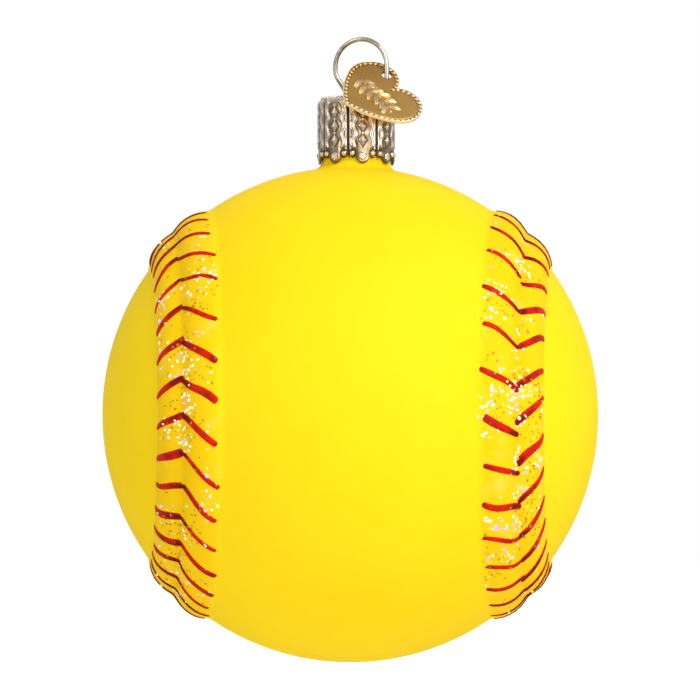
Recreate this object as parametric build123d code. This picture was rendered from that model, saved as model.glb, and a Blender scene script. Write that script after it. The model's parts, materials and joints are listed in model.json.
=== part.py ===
"""Hanging glass ornament in the form of a softball.

A hollow blown-glass ball carries the two-roll moulded seam of a softball and a short neck.
Raised enamel strokes are painted along the seam, a stamped metal cap sits over the neck,
a sprung wire hanger goes through the cap, and a heart-shaped tag hangs on the wire.
Millimetres, +Z up, the front of the ball faces -Y.
The model is worked out about the ball's centre and moved to the hang point at the end.
"""

from build123d import *
from math import acos, atan2, cos, degrees, pi, radians, sin, sqrt
import os

# Ball and its moulded seam
BALL_DIAMETER = 70.0
GLASS_WALL = 0.9
SEAM_WAIST_ANGLE = 38.5  # from the front of the ball to the seam, where the front panel is narrowest
SEAM_WIDTH = 11.75  # edge to edge over both rolls, along the ball
ROLL_SPACING = 6.0  # crest to crest, along the ball
ROLL_HEIGHT = 1.13
GROOVE_HEIGHT = 0.65  # floor of the groove between the rolls, above the ball

# Painted stitches
STITCH_COUNTS = (16, 16, 17, 16)  # chevrons on each arc, from the right front round the seam
STITCH_STARTS = (0.42, 0.45, 0.62, 0.5)  # first apex of each arc, as a share of its pitch
STITCH_REACH = 5.6  # from the groove to the outer end of a stroke, along the ball
STITCH_INSET = 0.3  # from the groove to the inner end of a stroke
STITCH_TRAIL = 2.9  # how far the outer end lies behind the apex
STITCH_WIDTH = 0.7
STITCH_HEIGHT = 0.28
STITCH_END_HEIGHT = 0.12

# Neck of the ball
NECK_OFFSET = 0.83  # the blown neck stands a little to one side of the ball's axis
NECK_WALL = 0.9
NECK_FILLET = 1.45

# Stamped cap
CAP_DIAMETER = 10.86
CAP_HEIGHT = 9.4  # from the tips of the scallops to the top
CAP_STANDOFF = 0.3  # from the crown of the ball to the tips of the scallops
CAP_SHEET = 0.3
CAP_SHOULDER = 1.0
CAP_NECK_CLEARANCE = 0.3
CAP_SEAT_GAP = 0.05
CAP_PANELS = 8
CAP_CREASE_ANGLE = -12.5  # first crease, from the front towards +X
CAP_CREASE_WIDTH = 0.3
CAP_CREASE_DEPTH = 0.1
SCALLOP_TIP_RADIUS = 1.0  # middle lobe of each panel's lower edge
SCALLOP_CORNER_RADIUS = 0.66  # lobes at the panel's lower corners
SCALLOP_CORNER_INSET = 0.62  # from the crease to the middle of a corner lobe
SCALLOP_CORNER_HEIGHT = 1.35  # from the tips to the middle of a corner lobe
SLOT_CLEARANCE = 0.25

# Wire hanger
WIRE_DIAMETER = 0.65
LOOP_WIDTH = 7.72  # between the wire's centre lines
LOOP_HEIGHT = 8.4  # from the cap to the wire's centre line at the top
LOOP_OFFSET = 0.72  # the loop is bent a little to one side of its legs
LOOP_TURN = 20.0  # about the cap's axis, right side towards the front
LOOP_TOP_FLAT = 0.04  # straight stretch between the two quarter bends at the top
LOOP_LEFT_DROP = 1.0  # straight side below the upper half circle, to the lower left bend
LOOP_RIGHT_DROP = 2.7
LOOP_LEFT_RADIUS = 2.6
LOOP_RIGHT_RADIUS = 1.2
LEG_SPACING = 2.4
LEG_BEND_HEIGHT = 0.45  # where the legs turn into the loop, above the cap
LEG_BEND_RADIUS = 0.8
LEG_LENGTH = 9.5  # below the top of the cap
LEG_STRAIGHT = 4.2  # below the top of the cap, before the legs spread
LEG_SPREAD_RADIUS = 1.5
LEG_BORE_CLEARANCE = 0.3

# Heart-shaped tag
TAG_LOBE_RADIUS = 3.66
TAG_LOBE_SPACING = 6.1
TAG_TIP_DEPTH = 6.79  # from the line through the lobes' centres to the tip
TAG_SIDE_RADIUS = 13.1
TAG_SHEET = 0.35
TAG_RIM_WIDTH = 0.6
TAG_RIM_HEIGHT = 0.15
TAG_HOLE_DIAMETER = 1.5
TAG_HOLE_EDGE = 1.45  # from the top of the left lobe to the hole's centre
TAG_HANG_HEIGHT = 3.1  # hole's centre above the cap
TAG_FACING = 12.8  # turned from the front towards +X
TAG_SPIN = 67.2  # the heart's upright leans this far towards +X in the tag's own plane
TAG_REST_GAP = 0.3  # between the tag's back and the cap's shoulder

# Sizes that follow from those above
ball_radius = BALL_DIAMETER / 2
cap_radius = CAP_DIAMETER / 2
cap_tip_z = ball_radius + CAP_STANDOFF
cap_top_z = cap_tip_z + CAP_HEIGHT
neck_radius = cap_radius - CAP_SHEET - CAP_NECK_CLEARANCE
neck_top_z = cap_top_z - CAP_SHEET - CAP_SEAT_GAP
bore_radius = neck_radius - NECK_WALL
neck_lip_radius = CAP_SHOULDER - CAP_SHEET - CAP_NECK_CLEARANCE  # follows the cap's inner shoulder
wire_radius = WIRE_DIAMETER / 2
center = Vector(0, 0, 0)
up = Vector(0, 0, 1)

# Cap, wire loop and hang point
cap_place = Pos(NECK_OFFSET, 0, cap_top_z)
cap_top = Vector(NECK_OFFSET, 0, cap_top_z)
loop_side = Vector(cos(radians(LOOP_TURN)), -sin(radians(LOOP_TURN)), 0)
loop_plane = Plane(cap_top, x_dir=loop_side, z_dir=loop_side.cross(up))
hang_point = cap_top + loop_side * LOOP_OFFSET + up * (LOOP_HEIGHT - wire_radius)

# The tag hangs on the right side of the loop and leans on the front of the cap's shoulder.
# Its slope follows from the hole's place and the shoulder, seen along the tag's level line.
facing = radians(TAG_FACING)
tag_front = Vector(sin(facing), -cos(facing), 0)
tag_level = Vector(cos(facing), sin(facing), 0)
tag_hole = cap_top + loop_side * (LOOP_OFFSET + LOOP_WIDTH / 2) + up * TAG_HANG_HEIGHT
hole_back = (tag_hole - cap_top).dot(tag_front) - (cap_radius - CAP_SHOULDER)
hole_rise = TAG_HANG_HEIGHT + CAP_SHOULDER
shoulder_reach = CAP_SHOULDER + TAG_REST_GAP + TAG_SHEET / 2
hole_distance = sqrt(hole_back**2 + hole_rise**2)
tag_slope = atan2(hole_rise, hole_back) - acos(shoulder_reach / hole_distance)
tag_normal = tag_front * cos(tag_slope) + up * sin(tag_slope)
tag_rise = tag_normal.cross(tag_level)
spin = radians(TAG_SPIN)
tag_right = tag_level * cos(spin) - tag_rise * sin(spin)
tag_plane = Plane(tag_hole, x_dir=tag_right, z_dir=tag_normal)

# The seam is four equal arcs, each a circle about an axis of its own.
# The arc on the right of the front runs from the joint at the upper right, down round the
# front, to the joint at the lower right.
waist = radians(SEAM_WAIST_ANGLE)
seam_lean = atan2(sin(pi / 4) - sin(waist), cos(waist))
seam_axis = Vector(cos(seam_lean), -sin(seam_lean), 0)
seam_front = Vector(-sin(seam_lean), -cos(seam_lean), 0)
seam_joint = Vector(1, 0, 1).normalized()
seam_cone = acos(seam_axis.dot(seam_joint))
seam_start = (seam_joint - seam_axis * cos(seam_cone)).normalized()
seam_half = acos(seam_start.dot(seam_front))


def carry_along(shape, arcs):
    """The shape on the right front arc, carried on by some arcs in the seam's own direction."""
    for _ in range(arcs):
        shape = shape.mirror(Plane.XZ).rotate(Axis.Y, 90)
    return shape


def roll_circle():
    """Centre and radius of the circle through a roll's foot, crest and the groove's floor."""
    foot_angle = SEAM_WIDTH / 2 / ball_radius
    crest_angle = ROLL_SPACING / 2 / ball_radius
    foot = Vector(cos(foot_angle), sin(foot_angle)) * ball_radius
    crest = Vector(cos(crest_angle), sin(crest_angle)) * (ball_radius + ROLL_HEIGHT)
    groove = Vector(ball_radius + GROOVE_HEIGHT, 0)
    arc = ThreePointArc(foot, crest, groove)
    return arc.arc_center, arc.radius


roll_center, roll_radius = roll_circle()


def seam_height(across):
    """Distance from the ball's centre to the top of a roll, at an angle from the groove."""
    off_angle = abs(across) - atan2(roll_center.Y, roll_center.X)
    reach = roll_center.length
    return reach * cos(off_angle) + sqrt(roll_radius**2 - (reach * sin(off_angle)) ** 2)


def seam_point(along, across, lift=0.0):
    """A point on the right front arc: along from its middle, across from its groove, in radians."""
    cone = seam_cone + across
    around = seam_front * cos(along) - up * sin(along)
    direction = seam_axis * cos(cone) + around * sin(cone)
    return direction * (seam_height(across) + lift)


def seam_rolls():
    """Both rolls of the right front arc, with their feet sunk into the ball."""
    sunk_foot = (SEAM_WIDTH / 2 + ROLL_HEIGHT / 2) / ball_radius
    crest = ROLL_SPACING / 2 / ball_radius

    def section_point(across):
        reach = seam_height(across)
        return Vector(reach * cos(across), reach * sin(across))

    root = Vector(ball_radius - 4 * ROLL_HEIGHT, 0)
    outline = [
        ThreePointArc(section_point(-sunk_foot), section_point(-crest), section_point(0)),
        ThreePointArc(section_point(0), section_point(crest), section_point(sunk_foot)),
        Polyline(section_point(sunk_foot), root, section_point(-sunk_foot)),
    ]
    outward = (seam_joint * cos(seam_cone) - seam_axis).normalized()
    section_plane = Plane(center, x_dir=seam_joint, z_dir=seam_joint.cross(outward))
    section = section_plane * make_face(outline)
    return revolve(section, Axis(center, seam_axis), degrees(2 * seam_half))


def make_ball_outside():
    """Outer form of the glass: ball, neck with its rounded root, and the seam's rolls."""
    ball = Rot(90, 0, 0) * Sphere(ball_radius)
    neck = Pos(NECK_OFFSET, 0, neck_top_z / 2) * Cylinder(neck_radius, neck_top_z)
    outside = ball + neck
    neck_wall = outside.faces().filter_by(GeomType.CYLINDER)[0]
    neck_root = neck_wall.edges().sort_by(Axis.Z)[0]
    outside = fillet(neck_root, NECK_FILLET)
    outside = fillet(outside.edges().group_by(Axis.Z)[-1], neck_lip_radius)
    rolls = seam_rolls()
    for arc in range(4):
        outside = outside + carry_along(rolls, arc)
    return outside


def make_glass_ball(outside):
    """The blown shell: the inside follows the ball and opens through the neck."""
    hollow = Rot(90, 0, 0) * Sphere(ball_radius - GLASS_WALL)
    bore = Pos(NECK_OFFSET, 0, neck_top_z / 2) * Cylinder(bore_radius, neck_top_z)
    return outside - (hollow + bore)


def stitch_stroke(apex, side, outside):
    """One enamel stroke: from the groove out over a roll, lying on the glass."""
    inner = side * STITCH_INSET / ball_radius
    outer = side * STITCH_REACH / ball_radius
    trail = STITCH_TRAIL / (ball_radius * sin(seam_cone))
    start = seam_point(apex, inner)
    crest = seam_point(apex - trail / 2, (inner + outer) / 2)
    end = seam_point(apex - trail, outer)
    run = end - start
    upright = Plane(start, x_dir=run, z_dir=run.cross(crest - start))
    crest_at = upright.to_local_coords(crest)
    section = [
        ThreePointArc(
            (0, STITCH_END_HEIGHT),
            (crest_at.X, crest_at.Y + STITCH_HEIGHT),
            (run.length, STITCH_END_HEIGHT),
        ),
        Polyline(
            (run.length, STITCH_END_HEIGHT),
            (run.length, -ROLL_HEIGHT),
            (0, -ROLL_HEIGHT),
            (0, STITCH_END_HEIGHT),
        ),
    ]
    slab = extrude(upright * make_face(section), STITCH_WIDTH / 2, both=True)
    return (slab - outside).solids().sort_by(SortBy.VOLUME)[-1]


def make_stitches(arc, outside):
    """Chevrons of two strokes each, evenly spaced along one arc of the seam."""
    pitch = 2 * seam_half / STITCH_COUNTS[arc]
    strokes = []
    for index in range(STITCH_COUNTS[arc]):
        apex = -seam_half + (index + STITCH_STARTS[arc]) * pitch
        for side in (-1, 1):
            strokes.append(stitch_stroke(apex, side, outside))
    return carry_along(Compound(strokes), arc)


def make_scallop():
    """What is cut from the lower edge at a crease, down to the tips of the panels on either side.

    A panel ends in three lobes: one at its middle, which is the tip, and one at each corner.
    """
    tip_place = cap_radius * sin(pi / CAP_PANELS)
    bottom = Plane(Vector(0, -cap_radius, -CAP_HEIGHT), x_dir=Vector(1, 0, 0), z_dir=Vector(0, -1, 0))
    below = Pos(0, SCALLOP_CORNER_HEIGHT / 2) * Rectangle(2 * tip_place, SCALLOP_CORNER_HEIGHT)
    for side in (-1, 1):
        below -= Pos(side * tip_place, SCALLOP_TIP_RADIUS) * Circle(SCALLOP_TIP_RADIUS)
        corner = Pos(side * SCALLOP_CORNER_INSET, SCALLOP_CORNER_HEIGHT)
        below -= corner * Circle(SCALLOP_CORNER_RADIUS)
    return extrude(bottom * below, cap_radius / 2, both=True)


def make_cap():
    """Stamped cup over the neck, with a slot for the wire and a scalloped lower edge."""
    cup = Pos(0, 0, -CAP_HEIGHT / 2) * Cylinder(cap_radius, CAP_HEIGHT)
    cup = fillet(cup.edges().group_by(Axis.Z)[-1], CAP_SHOULDER)
    inside_height = CAP_HEIGHT - CAP_SHEET
    inside = Pos(0, 0, -CAP_SHEET - inside_height / 2) * Cylinder(cap_radius - CAP_SHEET, inside_height)
    inside = fillet(inside.edges().group_by(Axis.Z)[-1], CAP_SHOULDER - CAP_SHEET)
    slot_length = LEG_SPACING + WIRE_DIAMETER + 2 * SLOT_CLEARANCE
    slot_width = WIRE_DIAMETER + 2 * SLOT_CLEARANCE
    slot = extrude(Rot(0, 0, -LOOP_TURN) * SlotOverall(slot_length, slot_width), CAP_SHEET, both=True)
    cap = cup - inside - slot
    scallop = make_scallop()
    crease_length = CAP_HEIGHT - CAP_SHOULDER
    crease = Pos(0, -cap_radius, -CAP_SHOULDER - crease_length / 2) * Box(
        CAP_CREASE_WIDTH, 2 * CAP_CREASE_DEPTH, crease_length
    )
    for panel in range(CAP_PANELS):
        # Angles run from the front, -Y, towards +X.
        turn = Rot(0, 0, CAP_CREASE_ANGLE + panel * 360 / CAP_PANELS)
        cap = cap - turn * scallop - turn * crease
    return cap_place * cap


def make_hanger_wire():
    """One length of spring wire: two spread legs in the neck and the loop above the cap."""
    left = LOOP_OFFSET - LOOP_WIDTH / 2
    right = LOOP_OFFSET + LOOP_WIDTH / 2
    leg = LEG_SPACING / 2
    spread = bore_radius - wire_radius - LEG_BORE_CLEARANCE
    loop_center = LOOP_HEIGHT - LOOP_WIDTH / 2
    corners = [
        (-spread, -LEG_LENGTH),
        (-leg, -LEG_STRAIGHT),
        (-leg, LEG_BEND_HEIGHT),
        (left, loop_center - LOOP_LEFT_DROP),
        (left, LOOP_HEIGHT),
        (right, LOOP_HEIGHT),
        (right, loop_center - LOOP_RIGHT_DROP),
        (leg, LEG_BEND_HEIGHT),
        (leg, -LEG_STRAIGHT),
        (spread, -LEG_LENGTH),
    ]
    top_radius = LOOP_WIDTH / 2 - LOOP_TOP_FLAT / 2
    radii = [
        LEG_SPREAD_RADIUS,
        LEG_BEND_RADIUS,
        LOOP_LEFT_RADIUS,
        top_radius,
        top_radius,
        LOOP_RIGHT_RADIUS,
        LEG_BEND_RADIUS,
        LEG_SPREAD_RADIUS,
    ]
    path = loop_plane * FilletPolyline(*corners, radius=radii)
    section = Plane(path @ 0, z_dir=path % 0) * Circle(wire_radius)
    return sweep(section, path)


def make_tag_outline(inset):
    """The heart's outline as a face, drawn in by an even margin."""
    lobe = Vector(TAG_LOBE_SPACING / 2, 0)
    tip = Vector(0, -TAG_TIP_DEPTH)
    # The side's circle holds the lobe's circle, touches it, and goes through the tip.
    to_tip = tip - lobe
    lobe_reach = TAG_SIDE_RADIUS - TAG_LOBE_RADIUS
    along = (lobe_reach**2 - TAG_SIDE_RADIUS**2 + to_tip.length**2) / (2 * to_tip.length)
    aside = sqrt(lobe_reach**2 - along**2)
    ahead = to_tip.normalized()
    side_center = lobe + ahead * along + Vector(ahead.Y, -ahead.X) * aside
    outward = (lobe - side_center).normalized()
    lobe_radius = TAG_LOBE_RADIUS - inset
    side_radius = TAG_SIDE_RADIUS - inset
    cleft = Vector(0, sqrt(lobe_radius**2 - lobe.X**2))
    meeting = lobe + outward * lobe_radius
    end = Vector(0, side_center.Y - sqrt(side_radius**2 - side_center.X**2))
    middle = (meeting - side_center + end - side_center).normalized()
    half = [
        ThreePointArc(cleft, lobe + Vector(1, 1).normalized() * lobe_radius, meeting),
        ThreePointArc(meeting, side_center + middle * side_radius, end),
    ]
    other_half = [edge.mirror(Plane.YZ) for edge in half]
    return make_face(half + other_half)


def make_heart_tag():
    """Stamped sheet heart with a raised rim, hung by a hole near the top of its left lobe."""
    outline = make_tag_outline(0)
    sheet = extrude(outline, TAG_SHEET / 2, both=True)
    rim = extrude(outline - make_tag_outline(TAG_RIM_WIDTH), TAG_SHEET / 2 + TAG_RIM_HEIGHT)
    hole_at = Pos(-TAG_LOBE_SPACING / 2, TAG_LOBE_RADIUS - TAG_HOLE_EDGE)
    tag = sheet + rim - hole_at * Cylinder(TAG_HOLE_DIAMETER / 2, 4 * TAG_SHEET)
    return tag_plane * hole_at.inverse() * tag


outside = make_ball_outside()
stitches = [make_stitches(arc, outside) for arc in range(4)]
pieces = {
    "glass_ball": make_glass_ball(outside),
    "front_right_stitches": stitches[0],
    "back_bottom_stitches": stitches[1],
    "front_left_stitches": stitches[2],
    "back_top_stitches": stitches[3],
    "cap": make_cap(),
    "hanger_wire": make_hanger_wire(),
    "heart_tag": make_heart_tag(),
}

os.makedirs("parts", exist_ok=True)
for name, piece in pieces.items():
    export_step(Pos(-hang_point) * piece, f"parts/{name}.step")

print("hang point above the ball's centre", hang_point)
print("hinge of the tag", tag_hole - hang_point, "along", tag_level)
print("axis of the neck", Vector(NECK_OFFSET, 0, 0) - hang_point)
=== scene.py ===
import json
from math import acos, asin, atan2, cos, pi, radians, sin, sqrt, tan

import bmesh
import bpy
import numpy as np
from mathutils import Matrix, Vector


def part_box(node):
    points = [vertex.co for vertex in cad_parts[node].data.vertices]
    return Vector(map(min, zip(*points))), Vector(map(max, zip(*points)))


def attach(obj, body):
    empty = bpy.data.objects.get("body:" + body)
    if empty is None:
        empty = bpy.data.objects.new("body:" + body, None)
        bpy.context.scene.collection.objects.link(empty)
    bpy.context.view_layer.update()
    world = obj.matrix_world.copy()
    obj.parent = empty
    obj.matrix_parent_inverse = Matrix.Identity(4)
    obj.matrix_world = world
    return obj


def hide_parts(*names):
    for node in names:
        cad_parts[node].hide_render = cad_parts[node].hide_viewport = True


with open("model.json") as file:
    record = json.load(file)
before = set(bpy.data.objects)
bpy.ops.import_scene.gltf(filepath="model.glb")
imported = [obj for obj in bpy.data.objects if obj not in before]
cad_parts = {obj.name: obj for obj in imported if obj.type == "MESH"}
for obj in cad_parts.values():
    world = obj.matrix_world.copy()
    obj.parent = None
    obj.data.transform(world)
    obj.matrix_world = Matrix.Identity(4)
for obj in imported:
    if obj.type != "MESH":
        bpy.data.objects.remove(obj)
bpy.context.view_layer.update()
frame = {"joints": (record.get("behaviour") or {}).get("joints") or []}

scene = bpy.context.scene
scene.view_settings.view_transform = "Standard"
joints = {joint["name"]: joint for joint in frame["joints"]}

# Camera
# A long lens level with the middle of the ball, so that the cap is seen a little from below.
# The lens and its shift follow from where the ball stands in the square picture.
PICTURE_WIDTH = 700  # pixels
BALL_PIXEL = (350.3, 414.6)  # middle of the ball in the picture
BALL_PIXEL_RADIUS = 247.9
CAMERA_DISTANCE = 0.5
NECK_OFFSET = 0.83e-3  # the neck stands a little to one side of the ball's axis
CAP_STANDOFF = 0.3e-3  # from the crown of the ball to the tips of the cap

neck_axis = Vector(joints["cap_turn"]["pos_m"])
ball_low, ball_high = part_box("glass_ball")
cap_low, cap_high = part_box("cap")
ball_radius = (ball_high.y - ball_low.y) / 2
ball_centre = Vector((neck_axis.x - NECK_OFFSET, neck_axis.y, cap_low.z - CAP_STANDOFF - ball_radius))

camera = bpy.data.objects.new("camera", bpy.data.cameras.new("camera"))
scene.collection.objects.link(camera)
scene.camera = camera
camera.location = ball_centre - Vector((0, CAMERA_DISTANCE, 0))
camera.rotation_euler = (pi / 2, 0, 0)
half_view = PICTURE_WIDTH / 2 / BALL_PIXEL_RADIUS * tan(asin(ball_radius / CAMERA_DISTANCE))
camera.data.lens = camera.data.sensor_width / 2 / half_view
camera.data.shift_x = (PICTURE_WIDTH / 2 - BALL_PIXEL[0]) / PICTURE_WIDTH
camera.data.shift_y = (BALL_PIXEL[1] - PICTURE_WIDTH / 2) / PICTURE_WIDTH
camera.data.clip_start = 0.01

# Glass ball
# A hollow ball blown into a mould that gives it a softball's seam of two soft rolls, with the
# blown neck on top. The glass is lacquered a warm yellow, a little deeper in tone on the rolls.
SEAM_WAIST_ANGLE = radians(38.5)  # from the front to the seam, where the front panel is narrowest
SEAM_WIDTH = 11.75e-3
ROLL_SPACING = 6.0e-3
ROLL_HEIGHT = 1.13e-3
GROOVE_HEIGHT = 0.65e-3
GROOVE_SOFTNESS = 0.45e-3
FOOT_SOFTNESS = 0.28e-3
BAND_FADE = 0.9e-3  # from a roll's foot to the full tone of the rolls
GROOVE_SHADE = 0.6  # painted shade: the groove between the rolls is painted deeper in tone
GROOVE_SHADE_WIDTH = 1.0e-3
STRIP_MARGIN = 1.2e-3  # from a roll's foot to the edge of the seam's own strip of mesh
GLASS_WALL = 0.9e-3
NECK_RADIUS = 4.83e-3
NECK_LIP_RADIUS = 0.4e-3
NECK_FILLET = 1.4e-3
BORE_RADIUS = 3.93e-3
CAP_SEAT_DROP = 0.35e-3  # from the top of the cap to the top of the neck
ARC_STEPS = 112  # along each of the seam's four arcs
STRIP_STEPS = 40  # across the seam's strip
PANEL_STEPS = 22  # from the strip to the middle of a panel
NECK_SHARE = 20  # steps at the upper end of a front arc that lead to the neck's root
PANEL_YELLOW = (0.985, 0.70, 0.012, 1)
PANEL_SHADE = (0.93, 0.60, 0.002, 1)
ROLL_YELLOW = (0.91, 0.54, 0.004, 1)
GLUE_HAZE = (1.0, 0.84, 0.30, 1)  # dried glue under the glitter

seam_lean = atan2(sin(pi / 4) - sin(SEAM_WAIST_ANGLE), cos(SEAM_WAIST_ANGLE))
seam_axis = np.array((cos(seam_lean), -sin(seam_lean), 0))
seam_front = np.array((-sin(seam_lean), -cos(seam_lean), 0))
seam_cone = acos(seam_axis @ np.array((1, 0, 1)) / sqrt(2))
seam_half = pi / 2 + seam_lean
next_arc = np.array(((0, 0, 1), (0, -1, 0), (-1, 0, 0)))  # carries one arc of the seam to the next
arc_turns = [np.linalg.matrix_power(next_arc, number) for number in range(4)]


def circle_through(first, second, third):
    """Centre and radius of a circle in a plane through three points."""
    chords = 2 * np.array((second - first, third - first))
    squares = np.array((second @ second - first @ first, third @ third - first @ first))
    middle = np.linalg.solve(chords, squares)
    return middle, np.linalg.norm(first - middle)


def polar(reach, angle):
    return reach * np.array((cos(angle), sin(angle)))


roll_middle, roll_radius = circle_through(
    polar(ball_radius, SEAM_WIDTH / 2 / ball_radius),
    polar(ball_radius + ROLL_HEIGHT, ROLL_SPACING / 2 / ball_radius),
    polar(ball_radius + GROOVE_HEIGHT, 0),
)
roll_reach = float(np.linalg.norm(roll_middle))
roll_angle = atan2(roll_middle[1], roll_middle[0])


def roll_top(across):
    """Distance from the ball's centre to the top of the rolls, at an angle from the groove."""
    off = np.sqrt(across * across + (GROOVE_SOFTNESS / ball_radius) ** 2) - roll_angle
    aside = np.sin(off) * roll_reach
    return np.cos(off) * roll_reach + np.sqrt(float(roll_radius) ** 2 - aside * aside)


def seam_spot(along, across, reach):
    """Coordinates on the right front arc: along from its middle, across from its groove."""
    cone = across + seam_cone
    forward = np.cos(along) * np.sin(cone)
    return (
        (np.cos(cone) * seam_axis[0] + forward * seam_front[0]) * reach,
        (np.cos(cone) * seam_axis[1] + forward * seam_front[1]) * reach,
        np.sin(along) * np.sin(cone) * reach * -1,
    )


def soft_larger(first, second, softness):
    """The larger of two heights, with the crease between them rounded off."""
    overlap = np.maximum(softness - np.abs(first - second), 0)
    return np.maximum(first, second) + overlap**2 / (4 * softness)


def bump_at(distance, width):
    """A round-topped ridge, 1 on its line and falling off over its width."""
    return np.exp(-((distance / width) ** 2))


def toward(first, second, share):
    """Unit vectors a share of the way along the arcs from one set to another."""
    angle = np.arccos(np.clip(np.sum(first * second, axis=-1), -1, 1))[..., None]
    angle = np.maximum(angle, 1e-9)
    return (np.sin((1 - share) * angle) * first + np.sin(share * angle) * second) / np.sin(angle)


def level_row(flat, heights):
    """A row of points over a flat outline, at one height or at a height for each point."""
    return np.concatenate((flat, np.broadcast_to(heights, len(flat))[:, None]), axis=1)


class Surface:
    """Vertices and quads of a mesh that is put together from grids of points."""

    def __init__(self):
        self.points = []
        self.faces = []
        self.values = []
        self.count = 0

    def add_grid(self, rows, values=0.0, closed=False):
        """Adds a grid of points, rows by columns, and one number for each of them."""
        rows = np.asarray(rows)
        height, width = rows.shape[:2]
        index = np.arange(height * width).reshape(height, width) + self.count
        if closed:
            index = np.concatenate((index, index[:, :1]), axis=1)
        quads = np.stack((index[:-1, :-1], index[:-1, 1:], index[1:, 1:], index[1:, :-1]), axis=-1)
        self.points.append(rows.reshape(-1, 3))
        self.faces.append(quads.reshape(-1, 4))
        self.values.append(np.broadcast_to(values, (height, width)).reshape(-1))
        self.count += height * width

    def make_mesh(self, name, value_name, place=(0, 0, 0)):
        """One closed mesh, with doubles merged, faces outwards and smooth."""
        points = np.concatenate(self.points) + np.array(place)
        mesh = bpy.data.meshes.new(name)
        mesh.from_pydata(points.tolist(), [], np.concatenate(self.faces).tolist())
        layer = mesh.attributes.new(value_name, "FLOAT", "POINT")
        layer.data.foreach_set("value", np.concatenate(self.values).astype(np.float32))
        work = bmesh.new()
        work.from_mesh(mesh)
        bmesh.ops.remove_doubles(work, verts=work.verts, dist=1e-7)
        bmesh.ops.dissolve_degenerate(work, edges=work.edges, dist=1e-8)
        bmesh.ops.recalc_face_normals(work, faces=work.faces)
        work.to_mesh(mesh)
        work.free()
        mesh.shade_smooth()
        return mesh


arc_spots = np.linspace(-seam_half, seam_half, ARC_STEPS + 1)
strip_edge = (SEAM_WIDTH / 2 + STRIP_MARGIN) / ball_radius
neck_height = cap_high.z - CAP_SEAT_DROP - ball_centre.z


def seam_direction(arc, along, across):
    """Unit vectors on any arc; across is counted to the same side of the seam on all four."""
    side = 1 if arc % 2 == 0 else -1
    return np.stack(np.broadcast_arrays(*seam_spot(along, across * side, 1.0)), axis=-1) @ arc_turns[arc].T


def neck_root(azimuth):
    """Unit vectors to the foot of the neck's fillet, by azimuth from the front towards +X."""
    reach = NECK_RADIUS + NECK_FILLET
    x = NECK_OFFSET + reach * np.sin(azimuth)
    y = -reach * np.cos(azimuth)
    return np.stack((x, y, np.sqrt(ball_radius**2 - x * x - y * y)), axis=-1) / ball_radius


def panel_targets(with_neck):
    """Where each line of a panel's mesh ends: on its middle line, its pole or the neck's root."""
    top = neck_root(np.zeros(1))[0] if with_neck else np.array((0, sin(seam_lean), cos(seam_lean)))
    share_end = ARC_STEPS - (NECK_SHARE if with_neck else 0)
    share = np.clip(np.arange(ARC_STEPS + 1) / share_end, 0, 1)[:, None]
    rise = -seam_half + share * (atan2(top[2], -top[1]) + seam_half)
    drift = top[0] * share**2
    middle = np.concatenate((drift, -np.cos(rise), np.sin(rise)), axis=1)
    middle /= np.linalg.norm(middle, axis=1, keepdims=True)
    right_azimuth = pi / 2 * np.clip((np.arange(ARC_STEPS + 1) - share_end) / NECK_SHARE, 0, 1)
    left = middle.copy()
    right = middle.copy()
    if with_neck:
        left[share_end:] = neck_root(-right_azimuth[share_end:])
        right[share_end:] = neck_root(right_azimuth[share_end:])
        over = neck_root(pi - pi / 2 * arc_spots / seam_half)
    else:
        over = np.broadcast_to(top, middle.shape)
    under = np.broadcast_to(middle[0], middle.shape)
    return [right[::-1], under, left, over]


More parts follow.
